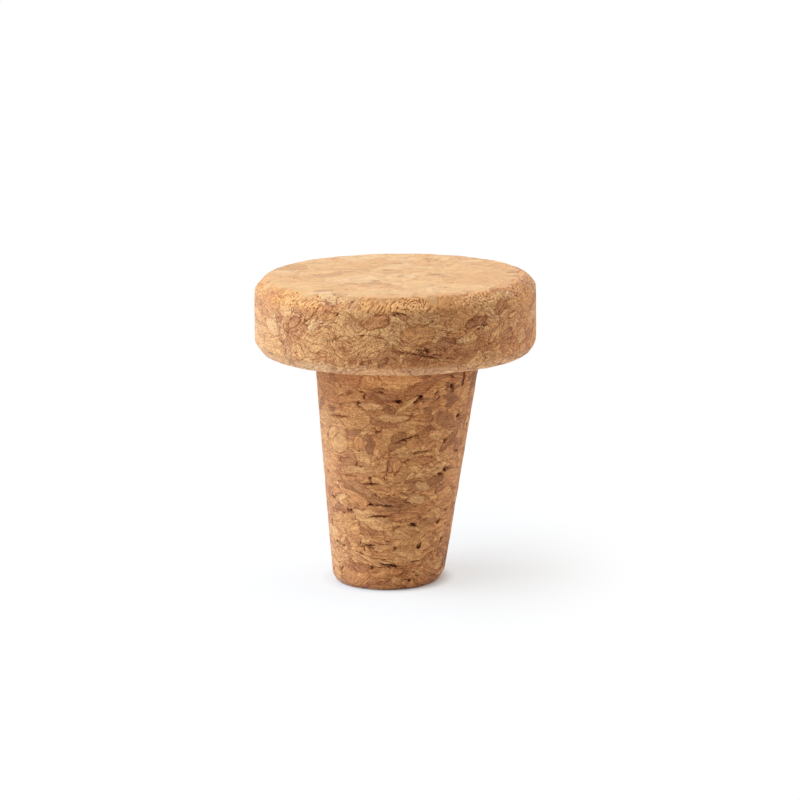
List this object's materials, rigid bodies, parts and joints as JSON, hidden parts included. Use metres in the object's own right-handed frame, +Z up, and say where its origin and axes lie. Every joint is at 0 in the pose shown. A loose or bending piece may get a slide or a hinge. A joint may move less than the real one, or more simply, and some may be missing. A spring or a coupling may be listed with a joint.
{
  "type": "cork stopper",
  "caption": "Stopper of agglomerated cork: a broad flat head with chamfered rims on a long tapered plug, all one piece.",
  "frame": {"origin": "on the head's axis, at the level of the foot that the stopper stands on", "axes": "+Z up the head's axis to the flat top; the plug's foot leans towards -X"},
  "size_m": [0.05, 0.05, 0.0553],
  "materials": {
    "cork": "bare agglomerated cork, matte, with pressed granules, hairline gaps and small open voids"
  },
  "bodies": {
    "root": {"stopper": "cork"}
  },
  "joints": []
}
